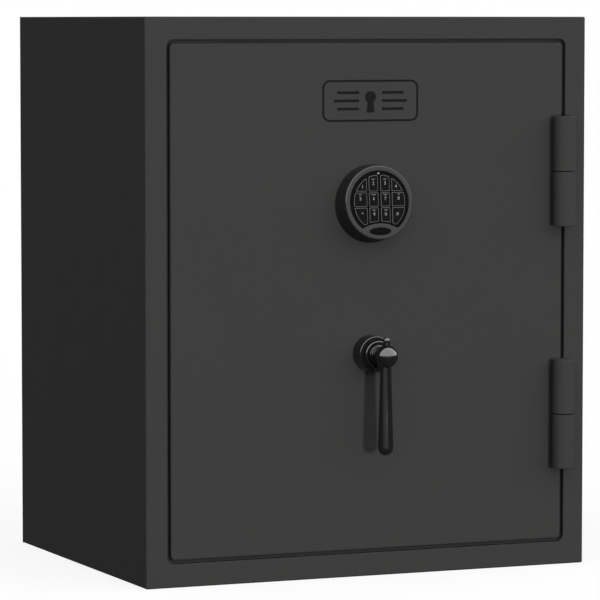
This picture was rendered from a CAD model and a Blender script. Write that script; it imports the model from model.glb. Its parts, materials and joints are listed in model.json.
"""Looks of a compact gun safe: a powder-coated steel body with one inset door on two outside
barrel hinges, a round key-pad lock and a lever handle. Metres, +Z up, and the door faces -Y.
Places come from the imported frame. New surfaces are worked out with numpy, as loops of points."""
import json
import math

import bmesh
import bpy
import numpy as np
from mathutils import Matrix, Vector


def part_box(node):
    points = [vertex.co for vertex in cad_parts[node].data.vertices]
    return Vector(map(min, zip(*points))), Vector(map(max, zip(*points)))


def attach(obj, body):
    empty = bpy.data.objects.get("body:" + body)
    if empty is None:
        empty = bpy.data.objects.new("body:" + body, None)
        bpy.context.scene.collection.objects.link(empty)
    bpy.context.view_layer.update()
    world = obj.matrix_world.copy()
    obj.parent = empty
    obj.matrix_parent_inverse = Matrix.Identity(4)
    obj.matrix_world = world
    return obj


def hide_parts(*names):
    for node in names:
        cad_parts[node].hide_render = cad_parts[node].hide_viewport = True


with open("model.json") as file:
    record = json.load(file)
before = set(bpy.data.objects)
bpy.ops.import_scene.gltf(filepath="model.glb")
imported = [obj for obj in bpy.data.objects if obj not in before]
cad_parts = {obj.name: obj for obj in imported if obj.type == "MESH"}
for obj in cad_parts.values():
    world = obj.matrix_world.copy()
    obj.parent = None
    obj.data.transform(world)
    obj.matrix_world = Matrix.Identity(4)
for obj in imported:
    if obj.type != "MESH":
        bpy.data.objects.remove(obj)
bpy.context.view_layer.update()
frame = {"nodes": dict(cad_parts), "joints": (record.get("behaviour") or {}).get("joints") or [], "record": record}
MM = 0.001
JOINTS = {joint["name"]: joint for joint in frame["joints"]}

# ---- places that the frame gives ----

FACE_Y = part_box("door_plate")[0].y
BODY_LOW, BODY_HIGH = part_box("body_shell")
BACK_LOW, BACK_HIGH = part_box("back_panel")
SHEET = BACK_HIGH.y - BACK_LOW.y
SEAL_LOW, SEAL_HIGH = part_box("door_seal")
HINGE_X, HINGE_Y, _ = JOINTS["door_swing"]["pos_m"]
HANDLE_Z = JOINTS["handle_turn"]["pos_m"][2]
KEY_PUSH = JOINTS["key_5_press"]["axis"]
PAD_TILT = math.atan2(-KEY_PUSH[2], KEY_PUSH[1])
PAD_Z = sum(corner.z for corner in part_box("keypad_base")) / 2
# the badge lies flat on the tilted face, so its middle gives the face's depth
PAD_RISE = 2.6 * MM
BADGE_T = 0.5 * MM
BADGE_LOW, BADGE_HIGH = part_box("keypad_badge")
BADGE_MID = (BADGE_LOW + BADGE_HIGH) / 2
BADGE_UP = (BADGE_MID.z - PAD_Z - PAD_RISE - BADGE_T / 2 * math.sin(PAD_TILT)) / math.cos(PAD_TILT)
PAD_DEPTH = FACE_Y - BADGE_MID.y + BADGE_UP * math.sin(PAD_TILT) - BADGE_T / 2 * math.cos(PAD_TILT)
PAD_LEAN = math.atan(PAD_RISE / PAD_DEPTH)


# ---- surfaces as loops of points ----

def rounded_outline(half, low, high, radius, steps=8):
    """A rectangle x = -half..half, z = low..high with quarter-circle corners, counter-clockwise:
    each corner's points are its centre + radius * (cos a, sin a) over its own quarter."""
    r = max(radius, 1e-5)
    a = np.radians(np.arange(4)[:, None] * 90 + np.linspace(0, 90, steps + 1)[None, :])
    cx = (half - r) * np.array([1, -1, -1, 1])[:, None]
    cz = (low + high) / 2 + ((high - low) / 2 - r) * np.array([1, 1, -1, -1])[:, None]
    return np.column_stack(((cx + r * np.cos(a)).ravel(), (cz + r * np.sin(a)).ravel()))


def panel_loop(panel, radius, inset, depth):
    """The rounded outline of an upright panel, moved in by inset, at depth behind the door's face.
    panel is (half width, low z, high z)."""
    half, low, high = panel
    flat = rounded_outline(half - inset, low + inset, high - inset, radius - inset)
    return np.column_stack((flat[:, 0], np.full(len(flat), FACE_Y + depth), flat[:, 1]))


def ring_faces(rows, columns):
    """Quads between neighbouring loops of a rows x columns grid whose columns close on themselves."""
    row, column = np.meshgrid(np.arange(rows - 1), np.arange(columns), indexing="ij")
    a = row * columns + column
    b = row * columns + (column + 1) % columns
    return np.stack((a, b, b + columns, a + columns), axis=-1).reshape(-1, 4)


def loft(loops, start=None, end=None, ring=False):
    """A surface through loops of equal length. Its ends close with fans to the points start and end
    (the middles of the end loops if not given), or, as a ring, the last loop joins the first."""
    loops = np.asarray(loops, float)
    rows, columns = loops.shape[:2]
    points = loops.reshape(-1, 3)
    if ring:
        faces = ring_faces(rows + 1, columns) % (rows * columns)
        return points, faces.tolist()
    faces = ring_faces(rows, columns).tolist()
    index = np.arange(columns)
    for first, tip in ((0, start), ((rows - 1) * columns, end)):
        pole = points[first:first + columns].mean(0) if tip is None else np.asarray(tip, float)
        pole_index = np.full(columns, len(points))
        fan = np.stack((first + index, first + np.roll(index, -1), pole_index), axis=-1)
        faces += fan.tolist()
        points = np.vstack((points, pole))
    return points, faces


def filleted(corners, radii, steps=5):
    """A line through corners with each inner corner rounded by its radius: points of the circle that
    touches both sides, spaced by turning from one touching point to the other."""
    corners = np.asarray(corners, float)
    out = [corners[0]]
    for before, p, after, r in zip(corners[:-2], corners[1:-1], corners[2:], radii):
        if r <= 0:
            out.append(p)
            continue
        u = (before - p) / np.linalg.norm(before - p)
        v = (after - p) / np.linalg.norm(after - p)
        half = math.acos(np.clip(u @ v, -1, 1)) / 2
        centre = p + (u + v) / np.linalg.norm(u + v) * r / math.sin(half)
        s = np.linspace(0, 1, steps + 1)[:, None]
        reach = r / math.tan(half)
        spoke = (1 - s) * (p + u * reach - centre) + s * (p + v * reach - centre)
        out.extend(centre + r * spoke / np.linalg.norm(spoke, axis=1)[:, None])
    out.append(corners[-1])
    return np.array(out)


def turned(profile, steps=64, ring=False):
    """A profile of (radius, height) points turned about Z: (r cos a, r sin a, h). The ends close on
    the axis, or, as a ring, the profile's last point joins its first."""
    profile = np.asarray(profile, float)
    a = np.linspace(0, 2 * math.pi, steps, endpoint=False)
    loops = np.stack((profile[:, :1] * np.cos(a), profile[:, :1] * np.sin(a),
                      np.repeat(profile[:, 1:], steps, axis=1)), axis=-1)
    return loft(loops, (0, 0, profile[0, 1]), (0, 0, profile[-1, 1]), ring)


def soft_block(low, high, radius):
    """A box between two corners with rounded edges: rounded outlines in x and z whose inset follows
    a quarter circle near the front and the back."""
    low, high = np.array(low), np.array(high)
    middle = (low[0] + high[0]) / 2
    panel = ((high[0] - low[0]) / 2, low[2], high[2])
    rolls = quarter_roll(radius)
    loops = [panel_loop(panel, radius * 1.2, i, low[1] - FACE_Y + d) for i, d in rolls[::-1]]
    loops += [panel_loop(panel, radius * 1.2, i, high[1] - FACE_Y - d) for i, d in rolls]
    return loft(np.array(loops) + [middle, 0, 0])


def quarter_roll(radius, steps=5):
    """(inset, depth) points of a quarter-round edge from the side to the face:
    inset = r (1 - cos a), depth = r (1 - sin a)."""
    a = np.linspace(0, math.pi / 2, steps + 1)
    return np.column_stack((radius * (1 - np.cos(a)), radius * (1 - np.sin(a))))


def together(*surfaces):
    """Several surfaces as one: their points in a row, with the faces' numbers moved along."""
    points, faces, count = [], [], 0
    for more_points, more_faces in surfaces:
        points.append(more_points)
        faces += [[i + count for i in face] for face in more_faces]
        count += len(more_points)
    return np.vstack(points), faces


# ---- placing surfaces ----

def on_face(points, z, x=0.0):
    """Door-face coordinates (right, up, out) to the frame: x, y = face - out, z = z + up."""
    p = np.asarray(points, float)
    return np.column_stack((x + p[:, 0], FACE_Y - p[:, 2], z + p[:, 1]))


def on_pad(points):
    """Key-pad coordinates (right, up the tilted face, out of it) to the frame: a turn by the
    tilt about X, then up by the pad's rise and out from the door by its depth."""
    p = np.asarray(points, float)
    c, s = math.cos(PAD_TILT), math.sin(PAD_TILT)
    up = PAD_RISE + p[:, 1] * c + p[:, 2] * s
    out = PAD_DEPTH - p[:, 1] * s + p[:, 2] * c
    return on_face(np.column_stack((p[:, 0], up, out)), PAD_Z)


def placed(surface, place, *values):
    """A surface with its points moved by a placing function."""
    return place(surface[0], *values), surface[1]


def moved(surface, offset):
    """A surface moved by an offset."""
    return surface[0] + np.asarray(offset, float), surface[1]


def along_x(surface):
    """A turned shape laid over so that its height runs along +X."""
    p = surface[0]
    return np.column_stack((p[:, 2], p[:, 1], -p[:, 0])), surface[1]


def spans(node, axis, gap=5 * MM):
    """(low, high) of each group of a CAD node's points along an axis, where gaps part the groups."""
    obj = frame["nodes"][node]
    points = np.empty(len(obj.data.vertices) * 3)
    obj.data.vertices.foreach_get("co", points)
    matrix = np.array(obj.matrix_world)
    values = np.sort(points.reshape(-1, 3) @ matrix[axis, :3] + matrix[axis, 3])
    cuts = np.flatnonzero(np.diff(values) > gap)
    return list(zip(values[np.r_[0, cuts + 1]], values[np.r_[cuts, len(values) - 1]]))


# ---- making objects ----

def mesh_of(name, surface):
    """A mesh from points and faces, with every closed shell's faces turned outwards."""
    mesh = bpy.data.meshes.new(name)
    mesh.from_pydata(surface[0].tolist(), [], surface[1])
    shape = bmesh.new()
    shape.from_mesh(mesh)
    bmesh.ops.remove_doubles(shape, verts=shape.verts, dist=1e-7)
    bmesh.ops.recalc_face_normals(shape, faces=shape.faces)
    shape.to_mesh(mesh)
    shape.free()
    return mesh


def soften(obj, sharp):
    """Smooth shading with edges sharper than an angle kept crisp, weighted so that wide flat faces
    stay even up to their rounded rims."""
    obj.data.shade_smooth()
    obj.data.set_sharp_from_angle(angle=math.radians(sharp))
    even = obj.modifiers.new("even_shading", "WEIGHTED_NORMAL")
    even.weight = 80
    even.keep_sharp = True


def combine(obj, operation, surface):
    """Joins a surface to an object, or cuts it out of it, with an exact Boolean applied at once."""
    tool = bpy.data.objects.new("tool", mesh_of("tool", surface))
    bpy.context.scene.collection.objects.link(tool)
    step = obj.modifiers.new("combine", "BOOLEAN")
    step.operation = operation
    step.object = tool
    step.solver = "EXACT"
    bpy.context.view_layer.update()
    made = bpy.data.meshes.new_from_object(obj.evaluated_get(bpy.context.evaluated_depsgraph_get()))
    obj.modifiers.clear()
    old = obj.data
    obj.data = made
    bpy.data.meshes.remove(old)
    old = tool.data
    bpy.data.objects.remove(tool)
    bpy.data.meshes.remove(old)


def piece(name, surface, body, material, replaces=(), cuts=(), joins=(), sharp=38):
    """Makes a surface an object that rides on a body, after joining and cutting other surfaces."""
    obj = bpy.data.objects.new(name, mesh_of(name, surface))
    bpy.context.scene.collection.objects.link(obj)
    for more in joins:
        combine(obj, "UNION", more)
    for more in cuts:
        combine(obj, "DIFFERENCE", more)
    soften(obj, sharp)
    obj.data.materials.clear()
    obj.data.materials.append(material)
    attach(obj, body)
    if replaces:
        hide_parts(*replaces)
    return obj


# ---- shader tools ----

def wire(tree, kind, inputs=None, **settings):
    """A node of a kind with settings; each input takes a value or another node's output."""
    node = tree.nodes.new(kind)
    for key, value in settings.items():
        setattr(node, key, value)
    for key, value in (inputs or {}).items():
        if isinstance(value, bpy.types.NodeSocket):
            tree.links.new(value, node.inputs[key])
        else:
            node.inputs[key].default_value = value
    return node


def blend_colors(tree, factor, a, b):
    """The colour between a and b at factor."""
    return wire(tree, "ShaderNodeMix", {0: factor, 6: a, 7: b}, data_type="RGBA").outputs[2]


def spread(tree, value, low, high, to_low, to_high):
    """Maps value from low..high to to_low..to_high, clamped."""
    return wire(tree, "ShaderNodeMapRange", {"Value": value, "From Min": low, "From Max": high,
                                             "To Min": to_low, "To Max": to_high}).outputs["Result"]


def math_node(tree, operation, a, b):
    """One sum of two values."""
    return wire(tree, "ShaderNodeMath", {0: a, 1: b}, operation=operation).outputs[0]


def noise(tree, place, scale, detail=3.0, roughness=0.5):
    """Plain noise."""
    return wire(tree, "ShaderNodeTexNoise", {"Vector": place, "Scale": scale, "Detail": detail,
                                             "Roughness": roughness}).outputs["Fac"]


COLOR, FLOAT, VECTOR = "NodeSocketColor", "NodeSocketFloat", "NodeSocketVector"


def effect_group(name, inputs, outputs, build):
    """A shader node group with named sockets. inputs holds (name, kind, default) and outputs holds
    (name, kind); build(tree, group inputs) gives a value for each output."""
    tree = bpy.data.node_groups.new(name, "ShaderNodeTree")
    for label, kind, default in inputs:
        socket = tree.interface.new_socket(label, in_out="INPUT", socket_type=kind)
        if default is not None:
            socket.default_value = default
    for label, kind in outputs:
        tree.interface.new_socket(label, in_out="OUTPUT", socket_type=kind)
    source = tree.nodes.new("NodeGroupInput")
    target = tree.nodes.new("NodeGroupOutput")
    for (label, _), value in zip(outputs, build(tree, source.outputs)):
        tree.links.new(value, target.inputs[label])
    return tree


def sand_grain(tree, ins):
    """Powder coat or moulded plastic: fine and coarse noise added for the height, flecks that
    lighten or darken the colour, and wide soft patches in the roughness."""
    fine = noise(tree, ins["Vector"], ins["Scale"], 3.0, 0.55)
    coarse = noise(tree, ins["Vector"], math_node(tree, "MULTIPLY", ins["Scale"], 0.37), 2.0)
    height = math_node(tree, "ADD", fine, coarse)
    dark = blend_colors(tree, ins["Fleck"], ins["Color"], (0, 0, 0, 1))
    light = blend_colors(tree, ins["Fleck"], ins["Color"], (0.3, 0.3, 0.29, 1))
    color = blend_colors(tree, spread(tree, fine, 0.36, 0.66, 0.0, 1.0), dark, light)
    cloud = spread(tree, noise(tree, ins["Vector"], 9.0, 4.0), 0.3, 0.7, -0.05, 0.05)
    return color, math_node(tree, "ADD", ins["Roughness"], cloud), height


def metal_grain(tree, ins):
    """Drawn or ground metal: noise stretched along one axis for streaks, roughness and height,
    over soft stains between the two colours."""
    fine = wire(tree, "ShaderNodeMapping", {"Vector": ins["Vector"], "Scale": ins["Stretch"]})
    lines = noise(tree, fine.outputs[0], ins["Scale"], 5.0, 0.6)
    stain = spread(tree, noise(tree, ins["Vector"], 38.0, 5.0), 0.32, 0.7, 0.0, 1.0)
    tone = blend_colors(tree, stain, ins["Dark"], ins["Color"])
    color = blend_colors(tree, spread(tree, lines, 0.35, 0.65, 0.0, 0.22), tone, ins["Dark"])
    worn = spread(tree, lines, 0.3, 0.7, -0.07, 0.09)
    return color, math_node(tree, "ADD", ins["Roughness"], worn), lines


def carpet_pile(tree, ins):
    """Short tufts: cells for the loops, noise for the yarn, and wide patches where the nap lies."""
    tufts = wire(tree, "ShaderNodeTexVoronoi", {"Vector": ins["Vector"], "Scale": ins["Scale"]})
    yarn = noise(tree, ins["Vector"], ins["Scale"], 6.0, 0.7)
    lump = math_node(tree, "SUBTRACT", yarn, tufts.outputs["Distance"])
    pile = blend_colors(tree, spread(tree, lump, -0.35, 0.45, 0.0, 1.0), ins["Deep"], ins["Color"])
    nap = spread(tree, noise(tree, ins["Vector"], 14.0), 0.35, 0.65, 0.0, 0.25)
    return blend_colors(tree, nap, pile, ins["Deep"]), lump


GRAIN_OUT = [("Color", COLOR), ("Roughness", FLOAT), ("Height", FLOAT)]
SAND_GRAIN = effect_group("sand_grain", [
    ("Vector", VECTOR, None), ("Color", COLOR, (0.05, 0.05, 0.05, 1)), ("Scale", FLOAT, 900.0),
    ("Fleck", FLOAT, 0.05), ("Roughness", FLOAT, 0.6)], GRAIN_OUT, sand_grain)
METAL_GRAIN = effect_group("metal_grain", [
    ("Vector", VECTOR, None), ("Color", COLOR, (0.5, 0.5, 0.5, 1)), ("Dark", COLOR, (0.3, 0.3, 0.3, 1)),
    ("Stretch", VECTOR, (1, 1, 1)), ("Scale", FLOAT, 500.0), ("Roughness", FLOAT, 0.35)],
    GRAIN_OUT, metal_grain)
CARPET_PILE = effect_group("carpet_pile", [
    ("Vector", VECTOR, None), ("Color", COLOR, (0.1, 0.1, 0.1, 1)),
    ("Deep", COLOR, (0.02, 0.02, 0.02, 1)), ("Scale", FLOAT, 420.0)],
    [("Color", COLOR), ("Height", FLOAT)], carpet_pile)


def surface_material(name, group, group_values, depth, shader_values):
    """A material whose colour, roughness and bump come from an effect group on object coordinates,
    with plain values set on the shader's own sockets."""
    material = bpy.data.materials.new(name)
    material.use_nodes = True
    tree = material.node_tree
    shader = tree.nodes["Principled BSDF"]
    effect = wire(tree, "ShaderNodeGroup", node_tree=group)
    for label, value in group_values.items():
        effect.inputs[label].default_value = (*value, 1) if label in ("Color", "Dark", "Deep") else value
    tree.links.new(tree.nodes.new("ShaderNodeTexCoord").outputs["Object"], effect.inputs["Vector"])
    tree.links.new(effect.outputs["Color"], shader.inputs["Base Color"])
    if "Roughness" in effect.outputs:
        tree.links.new(effect.outputs["Roughness"], shader.inputs["Roughness"])
    relief = wire(tree, "ShaderNodeBump", {"Height": effect.outputs["Height"], "Distance": depth})
    tree.links.new(relief.outputs["Normal"], shader.inputs["Normal"])
    for label, value in shader_values.items():
        shader.inputs[label].default_value = value
    return material


def painted(name, color, rough, scale=900.0, fleck=0.05, depth=0.00006, **values):
    """Powder coat or moulded plastic with a fine grain."""
    grain = {"Color": color, "Scale": scale, "Fleck": fleck, "Roughness": rough}
    return surface_material(name, SAND_GRAIN, grain, depth, values)


def bare_metal(name, color, dark, rough, stretch=(1, 1, 1), scale=500.0, depth=0.00001):
    """Drawn, plated or cast metal."""
    grain = {"Color": color, "Dark": dark, "Stretch": stretch, "Scale": scale, "Roughness": rough}
    return surface_material(name, METAL_GRAIN, grain, depth, {"Metallic": 1.0})


def carpeted(name, color, deep, scale=420.0):
    """Short dense carpet glued to a board."""
    pile = {"Color": color, "Deep": deep, "Scale": scale}
    values = {"Roughness": 0.95, "Sheen Weight": 0.35, "Sheen Roughness": 0.5}
    return surface_material(name, CARPET_PILE, pile, 0.0009, values)


# ---- materials ----

MATTE = {"Specular IOR Level": 0.12}
CHARCOAL = painted("charcoal_powder_coat", (0.0228, 0.0228, 0.0223), 0.66, 820, 0.03, 0.00005, **MATTE)
INNER_COAT = painted("inner_powder_coat", (0.018, 0.018, 0.018), 0.6, 900, 0.02, **MATTE)
GLOSS_BLACK = painted("gloss_black_enamel", (0.0045, 0.0045, 0.0045), 0.09, 1500, 0.003, 0.000002,
                      **{"Coat Weight": 1.0, "Coat Roughness": 0.04})
PAD_GREY = painted("satin_grey_plastic", (0.0195, 0.0195, 0.020), 0.34, 2200, 0.01, 0.00001,
                   **{"Specular IOR Level": 0.3})
PAD_RIM = painted("polished_rim", (0.0195, 0.0195, 0.020), 0.16, 2200, 0.01, 0.000004)
PAD_BLACK = painted("black_plastic", (0.0145, 0.0145, 0.0145), 0.5, 2200, 0.002, 0.00001, **MATTE)
DEAD = {"Specular IOR Level": 0.03}
INSERT_BLACK = painted("black_overlay", (0.0022, 0.0022, 0.0022), 0.45, 2400, 0.002, 0.000008, **DEAD)
KEY_BLACK = painted("key_rubber", (0.004, 0.004, 0.0042), 0.5, 2600, 0.002, 0.00001, **DEAD)
RIM_GREY = painted("key_rim", (0.085, 0.085, 0.087), 0.55, 2600, 0.02, 0.000005, **MATTE)
DIGIT_WHITE = painted("digit_ink", (0.20, 0.20, 0.205), 0.55, 2600, 0.02, 0.000004, **MATTE)
LED_WHITE = painted("lamp_lens", (0.3, 0.3, 0.305), 0.25, 2600, 0.01, 0.000002)
EMBLEM_INK = painted("emblem_ink", (0.003, 0.003, 0.003), 0.5, 1600, 0.002, 0.00002, **MATTE)
SEAL_GREY = painted("heat_seal_strip", (0.10, 0.10, 0.095), 0.85, 1300, 0.08, 0.0001)
HARD_STEEL = painted("hardened_plate", (0.12, 0.12, 0.13), 0.5, 600, 0.06, 0.00003, Metallic=0.7)
BOARD = painted("fire_board", (0.66, 0.63, 0.55), 0.9, 500, 0.10, 0.0001)
VINYL = painted("cable_vinyl", (0.012, 0.012, 0.012), 0.45, 2400, 0.004, 0.00001)
BATTERY_FILM = painted("battery_film", (0.08, 0.08, 0.075), 0.4, 1800, 0.02, 0.000005)
CHROME = bare_metal("chromed_bolt", (0.62, 0.63, 0.65), (0.52, 0.53, 0.55), 0.14, (30, 1, 1), 700,
                    0.000004)
ZINC = bare_metal("zinc_plate", (0.50, 0.52, 0.56), (0.34, 0.35, 0.37), 0.36, (1, 1, 6), 260)
STANDARD_STEEL = bare_metal("satin_strip", (0.52, 0.53, 0.54), (0.38, 0.38, 0.39), 0.34, (8, 8, 1), 420)
SCREW_STEEL = bare_metal("screw_steel", (0.34, 0.34, 0.35), (0.2, 0.2, 0.2), 0.38, (1, 1, 1), 1500)
PIN_STEEL = bare_metal("ground_steel", (0.45, 0.45, 0.46), (0.3, 0.3, 0.3), 0.28, (1, 1, 20), 900,
                       0.000006)
BRONZE = bare_metal("oiled_bronze", (0.030, 0.026, 0.02), (0.015, 0.013, 0.01), 0.6, (1, 1, 1), 900)
BRASS = bare_metal("bush_brass", (0.62, 0.47, 0.20), (0.42, 0.30, 0.12), 0.34, (1, 1, 1), 900)
LOCK_CAST = bare_metal("lock_casting", (0.42, 0.43, 0.44), (0.30, 0.30, 0.31), 0.46, (1, 1, 1), 900,
                       0.00004)
CARPET = carpeted("grey_carpet", (0.13, 0.13, 0.135), (0.028, 0.028, 0.030))
DOOR_CARPET = carpeted("door_carpet", (0.13, 0.13, 0.135), (0.028, 0.028, 0.030), 450)


# ---- body ----

OPENING = (SEAL_HIGH.x, SEAL_LOW.z, SEAL_HIGH.z)
OPENING_R = 8 * MM
EDGE_R = 1.8 * MM
LIP_R = 1.0 * MM
ANCHORS = next(m["dims"] for m in frame["record"]["mounts"] if m["kind"] == "bolt_pattern")


def body_surface():
    """One bent sheet as a ring of loops: the outside runs forward to a rolled edge, the front frame
    runs in to the opening's own rolled edge, and the inside runs back to the first loop."""
    outer = (BODY_HIGH.x, BODY_LOW.z, BODY_HIGH.z)
    inner = (BODY_HIGH.x - SHEET, BODY_LOW.z + SHEET, BODY_HIGH.z - SHEET)
    back = BODY_HIGH.y - FACE_Y
    loops = [panel_loop(outer, 2 * MM, 0, back)]
    loops += [panel_loop(outer, 2 * MM, i, d) for i, d in quarter_roll(EDGE_R)]
    loops += [panel_loop(OPENING, OPENING_R, -i, d) for i, d in quarter_roll(LIP_R)[::-1]]
    loops += [panel_loop(OPENING, OPENING_R, 0, SHEET), panel_loop(inner, MM, 0, SHEET),
              panel_loop(inner, MM, 0, back)]
    return loft(loops, ring=True)


def rod(x, y, low, high, radius):
    """An upright round bar between two heights."""
    return moved(turned([(radius, low), (radius, high)], 48), (x, y, 0))


ANCHOR_X = ANCHORS["spacing_x_mm"] / 2 * MM
ANCHOR_Y = ANCHORS["spacing_y_mm"] / 2 * MM
anchor_holes = together(*[rod(side * ANCHOR_X, end * ANCHOR_Y, -MM, SHEET + MM, ANCHORS["hole_r_mm"] * MM)
                          for side in (-1, 1) for end in (-1, 1)])
piece("body_sheet", body_surface(), "safe_body", CHARCOAL, ["body_shell"],
      cuts=[anchor_holes])
piece("back_sheet", soft_block(BACK_LOW, BACK_HIGH, 0.8 * MM), "safe_body", CHARCOAL,
      ["back_panel"])
piece("shelf_board", soft_block(*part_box("shelf"), 3 * MM), "safe_body", CARPET, ["shelf"])


# ---- door ----

DOOR_LOW, DOOR_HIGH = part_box("door_plate")
BUSH_R = 9.05 * MM
CABLE_BORE_R = 4 * MM
BORE_DEPTH = 8 * MM
PLATE_BREAK = 0.3 * MM


def plate_surface(low, high, corner, roll):
    """An upright plate with a rolled front edge: rounded outlines from the flat back forward, whose
    inset follows a quarter circle over the last part."""
    panel = (high.x, low.z, high.z)
    thick = high.y - low.y
    back = [(PLATE_BREAK, thick), (0, thick - PLATE_BREAK)]
    loops = [panel_loop(panel, corner, i, d) for i, d in [*back, *quarter_roll(roll)]]
    return loft(np.array(loops) + [0, low.y - FACE_Y, 0])


def bore(z, radius, start, end):
    """A round hole along Y through the door at a height, between two distances behind the face."""
    return placed(turned([(radius, -end), (radius, -start)], 48), on_face, z)


CABLE_Z = sum(corner.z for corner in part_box("lock_cable")) / 2
door_bores = together(bore(HANDLE_Z, BUSH_R, -MM, BORE_DEPTH), bore(CABLE_Z, CABLE_BORE_R, -MM, BORE_DEPTH))
piece("door_sheet", plate_surface(DOOR_LOW, DOOR_HIGH, 5 * MM, EDGE_R), "door", CHARCOAL,
      ["door_plate"], cuts=[door_bores])


# ---- hinges and bolts ----

PIN_R = (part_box("hinge_pins")[1].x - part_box("hinge_pins")[0].x) / 2
PIN_PLAY = 0.05 * MM
KNUCKLE_CAP = 8 * MM
FOOT_GAP = 0.6 * MM
FOOT_INSET = 1.2 * MM


def knuckle(radius, length, bore_r, cap):
    """A round knuckle as a turned profile: from the blind end of its bore down the bore, over the
    seam's small edge, up the outside, over the chamfered end and back to the axis."""
    outline = filleted([(0, length - cap), (bore_r, length - cap), (bore_r, 0), (radius, 0),
                        (radius, length), (0, length)], [0, 0, 0.5 * MM, 1.2 * MM], 4)
    return turned(outline, 72)


def knuckles(name, node, body, upward, foot):
    """The knuckles of one side, with a weld foot each, placed at the groups of the CAD node."""
    low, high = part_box(node)
    radius = HINGE_Y - low.y
    pieces = []
    for bottom, top in spans(node, 2, 0.1):
        length = top - bottom
        shape = knuckle(radius, length, PIN_R + PIN_PLAY, KNUCKLE_CAP)
        block_low = (foot[0], PIN_R + FOOT_GAP, FOOT_INSET)
        block_high = (foot[1], high.y - HINGE_Y, length - FOOT_INSET)
        block = soft_block(block_low, block_high, 0.8 * MM)
        for surface in (shape, block):
            if not upward:
                surface = (surface[0] * [1, 1, -1] + [0, 0, length], surface[1])
            pieces.append(moved(surface, (HINGE_X, HINGE_Y, bottom)))
    piece(name, together(*pieces), body, CHARCOAL, [node], sharp=30)


knuckles("frame_side_knuckles", "frame_knuckles", "safe_body", False, (8 * MM, 11.7 * MM))
knuckles("door_side_knuckles", "door_knuckles", "door", True, (-7.5 * MM, -2.5 * MM))


def bolts(name, node, body, point_left):
    """Round bolts along X at the groups of the CAD node: a turned bar with one chamfered end."""
    low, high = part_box(node)
    length = high.x - low.x
    radius = (high.y - low.y) / 2
    outline = filleted([(0, 0), (radius, 0), (radius, length - 0.6 * MM), (radius - MM, length),
                        (0, length)], [0.3 * MM, 0.8 * MM, 0.8 * MM], 4)
    bars = []
    for bottom, top in spans(node, 2):
        bar = along_x(turned(outline, 64))
        if point_left:
            bar = (bar[0] * [-1, 1, 1] + [length, 0, 0], bar[1])
        bars.append(moved(bar, (low.x, (low.y + high.y) / 2, (bottom + top) / 2)))
    piece(name, together(*bars), body, CHROME, [node], sharp=30)


bolts("live_bolts", "locking_bolts", "boltwork", True)
bolts("fixed_bolts", "dead_bolts", "door", False)


# ---- handle ----

ROSE_LOW, ROSE_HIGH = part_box("handle_rose")
ROSE_R = (ROSE_HIGH.x - ROSE_LOW.x) / 2
ROSE_OUT = FACE_Y - ROSE_LOW.y
HUB_LOW, HUB_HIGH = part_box("handle_hub")
HUB_START = FACE_Y - HUB_HIGH.y
HUB_END = FACE_Y - HUB_LOW.y
HUB_R = (HUB_HIGH.x - HUB_LOW.x) / 2
LEVER_LOW, LEVER_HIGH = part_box("handle_lever")
BALL_R = (LEVER_HIGH.x - LEVER_LOW.x) / 2
BALL_OUT = FACE_Y - LEVER_LOW.y - BALL_R
RING_T = 5.7 * MM
COLLAR_R = 10.1 * MM
COLLAR_T = 3.7 * MM
NECK_R = 7.5 * MM
BORE_END = 27 * MM
SHAFT_R = 6.35 * MM
ROOT_R = 5.8 * MM
TIP_R = 8.6 * MM
LEVER_SET_BACK = 2.3 * MM
LEVER_OUT = BALL_OUT - LEVER_SET_BACK
LEVER_START = 3 * MM
LEVER_DOWN = HANDLE_Z - LEVER_LOW.z
FINIAL_UP = LEVER_HIGH.z - HANDLE_Z
FINIAL_START = 6 * MM
FINIAL_NECK_R = 3.9 * MM
FINIAL_R = 4.15 * MM


def rose_surface():
    """A shallow cup round the shaft: a turned ring, wide at the door, sloping in to a rounded rim."""
    inner = SHAFT_R + 0.45 * MM
    outline = filleted([(inner, 0.01 * MM), (ROSE_R, 0.01 * MM), (ROSE_R, 2.5 * MM),
                        (ROSE_R - MM, ROSE_OUT), (inner, ROSE_OUT)], [0.2 * MM, 3 * MM, 0.9 * MM], 7)
    return placed(turned(outline, 96, ring=True), on_face, HANDLE_Z)


def hub_surface():
    """The turning ring, the collar on it and the neck: a turned profile from the shaft's bore up
    over steps whose edges are rounded."""
    ring = HUB_START + RING_T
    collar = ring + COLLAR_T
    outline = filleted([(0, BORE_END), (SHAFT_R, BORE_END), (SHAFT_R, HUB_START), (HUB_R, HUB_START),
                        (HUB_R, ring), (COLLAR_R, ring), (COLLAR_R, collar), (NECK_R, collar),
                        (NECK_R, HUB_END), (0, HUB_END)],
                       [0, 0, 0.3 * MM, 1.3 * MM, 0.8 * MM, 0.9 * MM, 0.5 * MM, 0], 6)
    return placed(turned(outline, 96), on_face, HANDLE_Z)


def ball_surface():
    """Ball and neck in one turned profile: a straight neck that meets a circle of the ball's radius
    in a small concave fillet, out to the ball's pole."""
    meet = math.sqrt(BALL_R ** 2 - NECK_R ** 2)
    a = np.radians(np.linspace(-math.degrees(math.asin(meet / BALL_R)), 90, 30))
    round_part = np.column_stack((BALL_R * np.cos(a), BALL_OUT + BALL_R * np.sin(a)))
    outline = np.vstack(([(0, HUB_END), (NECK_R, HUB_END)], round_part[:-1], [(0, BALL_OUT + BALL_R)]))
    return placed(turned(outline, 72), on_face, HANDLE_Z)


def stem(outline, out, upward):
    """A turned profile stood up or down from the handle's axis, at a distance out from the door."""
    points, faces = turned(outline, 64)
    z = HANDLE_Z + points[:, 2] * (1 if upward else -1)
    return np.column_stack((points[:, 0], FACE_Y - out - points[:, 1], z)), faces


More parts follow.
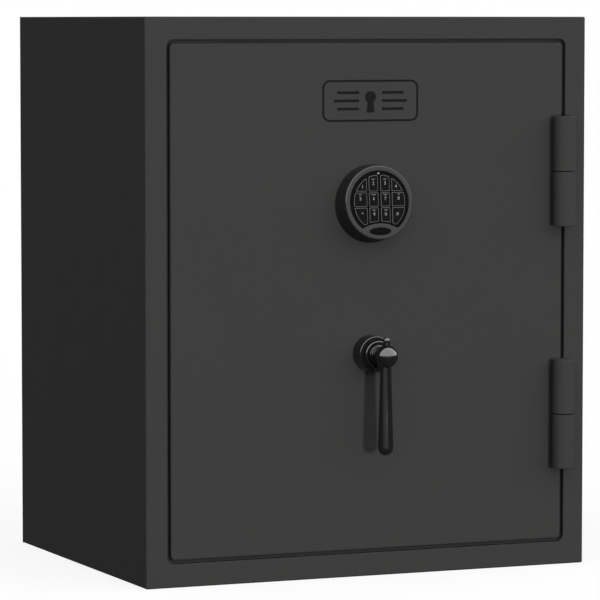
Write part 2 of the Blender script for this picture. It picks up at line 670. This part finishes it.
def lever_surface():
    """The lever: a turned cone that grows from its root to the tip, closed by a half sphere."""
    bottom = LEVER_DOWN - TIP_R
    a = np.radians(np.linspace(0, 90, 12))
    cap = np.column_stack((TIP_R * np.cos(a), bottom + TIP_R * np.sin(a)))
    outline = np.vstack(([(0, LEVER_START), (ROOT_R, LEVER_START)], cap[:-1], [(0, LEVER_DOWN)]))
    return stem(outline, LEVER_OUT, False)


def finial_surface():
    """The finial: a turned straight neck with a small domed cap on it."""
    neck_top = FINIAL_UP - 6 * MM
    cap_start = FINIAL_UP - 4.8 * MM
    outline = filleted([(0, FINIAL_START), (FINIAL_NECK_R, FINIAL_START), (FINIAL_NECK_R, neck_top),
                        (FINIAL_R, cap_start), (FINIAL_R, FINIAL_UP), (0, FINIAL_UP)],
                       [0, 1.5 * MM, 0.5 * MM, 4 * MM], 6)
    return stem(outline, BALL_OUT, True)


piece("rose", rose_surface(), "door", GLOSS_BLACK, ["handle_rose"], sharp=50)
piece("hub", hub_surface(), "handle", GLOSS_BLACK, ["handle_hub"], sharp=50)
piece("lever", ball_surface(), "handle", GLOSS_BLACK, ["handle_lever"],
      joins=[lever_surface(), finial_surface()], sharp=30)


# ---- key pad ----

PAD_R = (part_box("keypad_housing")[1].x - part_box("keypad_housing")[0].x) / 2
PAD_TAPER = 1.9 * MM
PAD_WALL = 2.6 * MM
POCKET = 3.6 * MM
POCKET_UNDER = 5.2 * MM
INSERT_SEAT = 2.0 * MM
INSERT_R = 35.5 * MM
KEY_FIELD_R = 31 * MM
CHIN_R = 43 * MM
CHIN_Y = -65.8 * MM
CHIN_GAP = 2.2 * MM
KEY_TOP = 0.6 * MM
KEY_BOTTOM = -2.4 * MM
LED_Y = 32.4 * MM
LED_R = 1.0 * MM
BADGE_HALF_Y = 4.35 * MM
KEY_EDGE = 0.3 * MM
KEY_PLAY = 0.05 * MM
KEY_PULL = 0.86
DIGIT_SIZE = 5.2 * MM
DIGIT_UP = 8.6 * MM
LOW_DIGIT_UP = 9.6 * MM
LETTER_SIZE = 2.0 * MM
LETTERS_UP = 4.4 * MM
INK_T = 0.03 * MM


def least(distances, softness):
    """The smaller of several distances with a soft change-over: -k log(sum of exp(-d / k))."""
    d = np.array(distances)
    low = d.min(0)
    return low - softness * np.log(np.exp(-(d - low) / softness).sum(0))


def to_chin(x, y, a, radius):
    """Distance from (x, y) at angle a to the chin's circle, far away where the ray misses it."""
    qy = y - CHIN_Y
    b = -(x * np.cos(a) + qy * np.sin(a))
    inside = b * b - (x * x + qy * qy) + radius * radius
    hit = (inside > 0) & (b > 0)
    return np.where(hit, b - np.sqrt(np.maximum(inside, 0)), 1.0)


def insert_loop(radius, chin, height, steps=240):
    """The insert's outline on the pad: at each angle the nearer of its circle and the chin's arc."""
    a = np.linspace(0, 2 * math.pi, steps, endpoint=False)
    r = least([np.full(steps, radius), to_chin(0, 0, a, CHIN_R + chin)], 0.15 * MM)
    return np.column_stack((r * np.cos(a), r * np.sin(a), np.full(steps, height)))


def cone_loop(wall, sink, steps=240):
    """Where the pad's leaning cone, shrunk by wall, meets the plane that lies sink below the tilted
    face: the distance from the leaning axis is R - wall - taper * out / depth, settled by repeating."""
    a = np.linspace(0, 2 * math.pi, steps, endpoint=False)
    r = np.full(steps, PAD_R)
    c, s = math.cos(PAD_TILT), math.sin(PAD_TILT)
    for _ in range(4):
        out = PAD_DEPTH - sink * c - r * np.sin(a) * s
        up = PAD_RISE + r * np.sin(a) * c - sink * s
        across = (up - out * math.tan(PAD_LEAN)) * math.cos(PAD_LEAN)
        r = r * (PAD_R - wall - PAD_TAPER * out / PAD_DEPTH) / np.hypot(r * np.cos(a), across)
    return np.column_stack((r * np.cos(a), r * np.sin(a), np.full(steps, -sink)))


def base_loop(radius, out, steps=240):
    """The leaning cone's oval near the door: (r cos a, r sin a / cos lean), at a distance out."""
    a = np.linspace(0, 2 * math.pi, steps, endpoint=False)
    up = radius * np.sin(a) / math.cos(PAD_LEAN) + out * math.tan(PAD_LEAN)
    flat = np.column_stack((radius * np.cos(a), up, np.full(steps, out)))
    return on_face(flat, PAD_Z)


def housing_surface():
    """A hollow tilted cone: from the pocket floor's underside down the inner wall to the door, up
    the outer wall, over the rounded rim, in across the face and down the steps of the recess."""
    rim = 1.3 * MM
    inner = on_pad(cone_loop(PAD_WALL, POCKET_UNDER))
    loops = [inner]
    loops += [base_loop(PAD_R - wall, out) for wall, out in ((PAD_WALL, 0), (0.3 * MM, 0), (0, 0.3 * MM))]
    loops += [on_pad(cone_loop(i, d)) for i, d in quarter_roll(rim, 6)]
    loops += [on_pad(insert_loop(INSERT_R + i * MM, -i * MM, h * MM)) for i, h in
              ((0.35, 0), (0.15, -0.08), (0.1, -0.3), (0.1, -2.0))]
    loops += [on_pad(insert_loop(INSERT_R - 2 * MM, 0.3 * MM, h)) for h in (-INSERT_SEAT, -POCKET)]
    return loft(loops, start=on_pad([(0, 0, -POCKET_UNDER)])[0], end=on_pad([(0, 0, -POCKET)])[0])


def key_cell(node):
    """A key's limits on the tilted face (left, right, bottom, top), worked back from its box."""
    low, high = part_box(node)
    c, s = math.cos(PAD_TILT), math.sin(PAD_TILT)
    bottom = (low.z - PAD_Z - PAD_RISE - KEY_BOTTOM * s) / c
    return low.x, high.x, bottom, (high.z - PAD_Z - PAD_RISE - KEY_TOP * s) / c


def key_middle(cell):
    """The point that a key's outline is measured from: its cell's middle, pulled to the pad's."""
    return (cell[0] + cell[1]) / 2 * KEY_PULL, (cell[2] + cell[3]) / 2 * KEY_PULL


def key_loop(cell, grow, height, steps=96):
    """A key's outline grown by an amount: at each angle from its middle the softly chosen nearest
    of its cell's four sides, the key circle and the chin's arc."""
    x, y = key_middle(cell)
    a = np.linspace(0, 2 * math.pi, steps, endpoint=False)
    dx, dy = np.cos(a), np.sin(a)
    sides = ((cell[1] + grow - x, dx), (x - cell[0] + grow, -dx),
             (cell[3] + grow - y, dy), (y - cell[2] + grow, -dy))
    rays = [np.where(d > 1e-6, reach / np.maximum(d, 1e-6), 1.0) for reach, d in sides]
    along = x * dx + y * dy
    rays.append(-along + np.sqrt(along ** 2 - x * x - y * y + (KEY_FIELD_R + grow) ** 2))
    rays.append(to_chin(x, y, a, CHIN_R + CHIN_GAP - grow))
    r = least(rays, 0.45 * MM)
    return np.column_stack((x + r * dx, y + r * dy, np.full(steps, height)))


def key_surface(cell):
    """A key cap: straight sides, an edge rounded by a quarter circle and a flat top."""
    loops = [key_loop(cell, -KEY_PLAY, KEY_BOTTOM)]
    loops += [key_loop(cell, -i - KEY_PLAY, KEY_TOP - d) for i, d in quarter_roll(KEY_EDGE, 4)]
    x, y = key_middle(cell)
    return placed(loft(loops, start=(x, y, KEY_BOTTOM), end=(x, y, KEY_TOP)), on_pad)


def outline_surface(cell):
    """The light rim of a key: a closed band of outlines that wraps the cap's rounded edge."""
    rows = ((-0.5, -0.1), (-0.5, 0.03), (-0.2, 0.0), (-0.02, -0.14), (-0.02, -0.4), (-0.3, -0.4))
    loops = [key_loop(cell, grow * MM, KEY_TOP + up * MM) for grow, up in rows]
    return placed(loft(loops, ring=True), on_pad)


def hole_surface(cell):
    """The opening in the insert for a key: its outline grown by the fit, as a closed prism."""
    loops = [key_loop(cell, 0.25 * MM, h * MM) for h in (-3.0, 1.0)]
    return placed(loft(loops), on_pad)


def disc_surface(half_x, half_y, y, bottom, top, edge, steps=72):
    """A flat oval with a rounded rim: ellipses whose inset follows a quarter circle."""
    a = np.linspace(0, 2 * math.pi, steps, endpoint=False)
    rows = [(0, bottom)] + [(i, top - d) for i, d in quarter_roll(edge, 4)]
    loops = [np.column_stack(((half_x - i) * np.cos(a), y + (half_y - i) * np.sin(a), np.full(steps, h)))
             for i, h in rows]
    return placed(loft(loops), on_pad)


def lettering(words, x, y, size):
    """Plain raised characters centred on a place of the pad, as a surface."""
    curve = bpy.data.curves.new("characters", "FONT")
    curve.body = words
    curve.size = size
    curve.align_x = "CENTER"
    curve.align_y = "CENTER"
    curve.extrude = INK_T
    curve.resolution_u = 3
    holder = bpy.data.objects.new("characters", curve)
    bpy.context.scene.collection.objects.link(holder)
    bpy.context.view_layer.update()
    mesh = bpy.data.meshes.new_from_object(holder.evaluated_get(bpy.context.evaluated_depsgraph_get()))
    points = np.empty(len(mesh.vertices) * 3)
    mesh.vertices.foreach_get("co", points)
    faces = [list(face.vertices) for face in mesh.polygons]
    bpy.data.objects.remove(holder)
    bpy.data.curves.remove(curve)
    bpy.data.meshes.remove(mesh)
    return on_pad(points.reshape(-1, 3) + [x, y, KEY_TOP + INK_T / 2]), faces


KEYS = {"key_1": ("1", ""), "key_2": ("2", "ABC"), "key_3": ("3", "DEF"), "key_4": ("4", ""),
        "key_5": ("5", "JKL"), "key_6": ("6", "MNO"), "key_7": ("7", "PQRS"), "key_8": ("8", "TUV"),
        "key_star": ("*", ""), "key_9": ("9", "WXY"), "key_0": ("0", "OPR"), "key_hash": ("#", "")}
CELLS = {node: key_cell(node) for node in KEYS}

pad_shell = piece("pad_shell", housing_surface(), "door", PAD_GREY, ["keypad_housing"],
                  sharp=50)
pad_shell.data.materials.append(PAD_BLACK)
pad_shell.data.materials.append(PAD_RIM)
normals = np.empty(len(pad_shell.data.polygons) * 3)
pad_shell.data.polygons.foreach_get("normal", normals)
facing = normals.reshape(-1, 3) @ -np.array(KEY_PUSH)
# the side wall is black, the rounded rim shines and the flat face is satin
part = np.where(facing < 0.3, 1, np.where(facing < 0.97, 2, 0))
pad_shell.data.polygons.foreach_set("material_index", part.astype(np.int32))
overlay_rows = ((0, -2.0), (0, -0.45), (0.15, -0.3))
overlay = loft([insert_loop(INSERT_R - i * MM, i * MM, h * MM) for i, h in overlay_rows])
lamp_hole = disc_surface(LED_R + 0.05 * MM, LED_R + 0.05 * MM, LED_Y, -3 * MM, MM, 0.1 * MM)
overlay_holes = together(lamp_hole, *[hole_surface(cell) for cell in CELLS.values()])
piece("pad_overlay", placed(overlay, on_pad), "door", INSERT_BLACK, ["keypad_insert"],
      cuts=[overlay_holes])
badge = disc_surface((BADGE_HIGH.x - BADGE_LOW.x) / 2, BADGE_HALF_Y, BADGE_UP, 0.01 * MM, BADGE_T, 0.3 * MM)
piece("pad_badge", badge, "door", INSERT_BLACK, ["keypad_badge"])
lamp = disc_surface(LED_R, LED_R, LED_Y, -2 * MM, -0.15 * MM, 0.4 * MM)
piece("pad_lamp", lamp, "door", LED_WHITE, ["status_led"])
for node, (digit, letters) in KEYS.items():
    cell = CELLS[node]
    piece(node + "_cap", key_surface(cell), node, KEY_BLACK, [node])
    piece(node + "_rim", outline_surface(cell), node, RIM_GREY)
    # digits with letters stand in the middle of the key, and the others follow the key's own middle
    x = (cell[0] + cell[1]) / 2
    if letters:
        y = cell[2] + (LOW_DIGIT_UP if node in ("key_9", "key_0") else DIGIT_UP)
    else:
        x = (key_middle(cell)[0] + x) / 2
        y = key_middle(cell)[1] + 0.6 * MM
    marks = [lettering(digit, x, y, DIGIT_SIZE)]
    if letters:
        marks.append(lettering(letters, x, y + LETTERS_UP, LETTER_SIZE))
    piece(node + "_marks", together(*marks), node, DIGIT_WHITE)


# ---- pieces that keep their CAD shape ----

KEPT = {
    INNER_COAT: ["door_jamb", "door_pan", "bolt_frame"], SEAL_GREY: ["door_seal"],
    BOARD: ["insulation_boards", "door_insulation"],
    CARPET: ["liner_left", "liner_right", "liner_top", "liner_floor", "liner_back"],
    DOOR_CARPET: ["door_back_cover"], STANDARD_STEEL: ["shelf_standards", "shelf_clips"],
    SCREW_STEEL: ["standard_screws", "cover_screws", "lock_screws"],
    PIN_STEEL: ["hinge_pins", "spindle", "drive_pin"],
    BRONZE: ["hinge_washers"], BRASS: ["spindle_bush", "lock_bolt"], HARD_STEEL: ["hard_plate"],
    ZINC: ["lock_bracket", "cam_plate", "bolt_bar", "guide_studs"], EMBLEM_INK: ["door_emblem"],
    LOCK_CAST: ["lock_body"], VINYL: ["lock_cable"], PAD_BLACK: ["keypad_base"], BATTERY_FILM: ["battery"],
}
BEVELS = {"door_back_cover": 1.5, "lock_body": 1.0, "door_jamb": 0.6, "bolt_frame": 0.6, "door_pan": 0.6,
          "bolt_bar": 0.5, "cam_plate": 0.5, "lock_bracket": 0.4, "battery": 1.5, "hard_plate": 0.5}
for material, nodes in KEPT.items():
    for node in nodes:
        obj = frame["nodes"][node]
        obj.data.materials.clear()
        obj.data.materials.append(material)
        if node in BEVELS:
            obj.modifiers.new("merge", "WELD").merge_threshold = 1e-6
            flat = obj.modifiers.new("flat", "DECIMATE")
            flat.decimate_type = "DISSOLVE"
            flat.angle_limit = math.radians(1)
            bevel = obj.modifiers.new("edges", "BEVEL")
            bevel.width = BEVELS[node] * MM
            bevel.segments = 2
            bevel.limit_method = "ANGLE"
            bevel.angle_limit = math.radians(50)


# ---- floor, light and camera ----

STRIP = 0.25
FLOOR_GLOW = 1.04
FLOOR_SHADE = 0.22


def first_only(tree, path):
    """One for a first reflection, zero for a reflection of a reflection."""
    return math_node(tree, "LESS_THAN", path["Glossy Depth"], 1.5)


def floor_material():
    """Pale floor: nearly white to the camera with a faint shadow. To reflections it is dim, with a
    lighter strip that starts some way in front."""
    material = bpy.data.materials.new("pale_floor")
    material.use_nodes = True
    tree = material.node_tree
    tree.nodes.remove(tree.nodes["Principled BSDF"])
    path = wire(tree, "ShaderNodeLightPath").outputs
    place = tree.nodes.new("ShaderNodeTexCoord").outputs["Object"]
    mottle = spread(tree, noise(tree, place, 6.0), 0.3, 0.7, 0.985, 1.0)
    pale = blend_colors(tree, mottle, (0, 0, 0, 1), (0.9, 0.9, 0.9, 1))
    shade = wire(tree, "ShaderNodeBsdfDiffuse", {"Color": pale})
    glow = wire(tree, "ShaderNodeEmission", {"Strength": FLOOR_GLOW})
    bright = wire(tree, "ShaderNodeMixShader", {0: FLOOR_SHADE, 1: glow.outputs[0], 2: shade.outputs[0]})
    dark = wire(tree, "ShaderNodeBsdfDiffuse", {"Color": (0.06, 0.06, 0.06, 1)})
    where = wire(tree, "ShaderNodeSeparateXYZ", {0: place}).outputs
    near = spread(tree, where["Y"], -0.8, -2.6, 0.0, STRIP)
    left = spread(tree, where["X"], 1.0, 0.1, 0.0, 1.0)
    lit = math_node(tree, "MULTIPLY", math_node(tree, "MULTIPLY", near, left), first_only(tree, path))
    strip = wire(tree, "ShaderNodeEmission", {"Strength": lit})
    dim = wire(tree, "ShaderNodeAddShader", {0: dark.outputs[0], 1: strip.outputs[0]})
    shaders = {0: path["Is Camera Ray"], 1: dim.outputs[0], 2: bright.outputs[0]}
    mix = wire(tree, "ShaderNodeMixShader", shaders)
    tree.links.new(mix.outputs[0], tree.nodes["Material Output"].inputs["Surface"])
    return material


FLOOR_HALF = 30.0
floor_mesh = bpy.data.meshes.new("floor")
floor_corners = [(x * FLOOR_HALF, y * FLOOR_HALF, 0) for x, y in ((-1, -1), (1, -1), (1, 1), (-1, 1))]
floor_mesh.from_pydata(floor_corners, [], [(0, 1, 2, 3)])
floor = bpy.data.objects.new("floor", floor_mesh)
bpy.context.scene.collection.objects.link(floor)
floor_mesh.materials.append(floor_material())

world = bpy.data.worlds.new("studio")
bpy.context.scene.world = world
world.use_nodes = True
tree = world.node_tree
backdrop = tree.nodes["Background"]
backdrop.inputs["Color"].default_value = (1, 1, 1, 1)
# white behind the object, soft light that fades from the front to the back, and for reflections a
# bright panel that stands in front, from eye height up, in a dark room
AMBIENT = (1.77, 0.15)
ROOM = 0.12
PANEL = 2.6
path = wire(tree, "ShaderNodeLightPath").outputs
sky = tree.nodes.new("ShaderNodeTexCoord").outputs["Generated"]
toward = wire(tree, "ShaderNodeSeparateXYZ", {0: sky})
raised = spread(tree, toward.outputs["Z"], 0.09, 0.13, 0.0, 1.0)
front = spread(tree, toward.outputs["Y"], 0.55, 0.25, 0.0, 1.0)
panel = math_node(tree, "MULTIPLY", math_node(tree, "MULTIPLY", raised, front), first_only(tree, path))
mirrored = spread(tree, panel, 0.0, 1.0, ROOM, PANEL)
even = spread(tree, toward.outputs["Y"], -1.0, 1.0, *AMBIENT)
soft = wire(tree, "ShaderNodeMix", {0: path["Is Glossy Ray"], 2: even, 3: mirrored}).outputs[0]
level = wire(tree, "ShaderNodeMix", {0: path["Is Camera Ray"], 2: soft, 3: 1.0}).outputs[0]
tree.links.new(level, backdrop.inputs["Strength"])


# a small light level with the door's middle shines straight at it, and reflections don't show it
lamp_data = bpy.data.lights.new("front_light", "AREA")
lamp_data.shape = "RECTANGLE"
lamp_data.size = 0.25
lamp_data.size_y = 0.25
lamp_data.energy = 124
front_light = bpy.data.objects.new("front_light", lamp_data)
bpy.context.scene.collection.objects.link(front_light)
front_light.location = (0.0, -4.2, 0.28)
front_light.rotation_euler = (math.pi / 2, 0, 0)
front_light.visible_camera = False
front_light.visible_glossy = False

camera_data = bpy.data.cameras.new("camera")
camera_data.lens = 228.1
camera_data.sensor_width = 36
camera = bpy.data.objects.new("camera", camera_data)
bpy.context.scene.collection.objects.link(camera)
camera.location = (-1.7286, -4.0415, 0.6167)
camera.rotation_euler = (math.radians(90 - 4.191), 0, math.radians(-23.2))
bpy.context.scene.camera = camera
bpy.context.scene.view_settings.view_transform = "Standard"
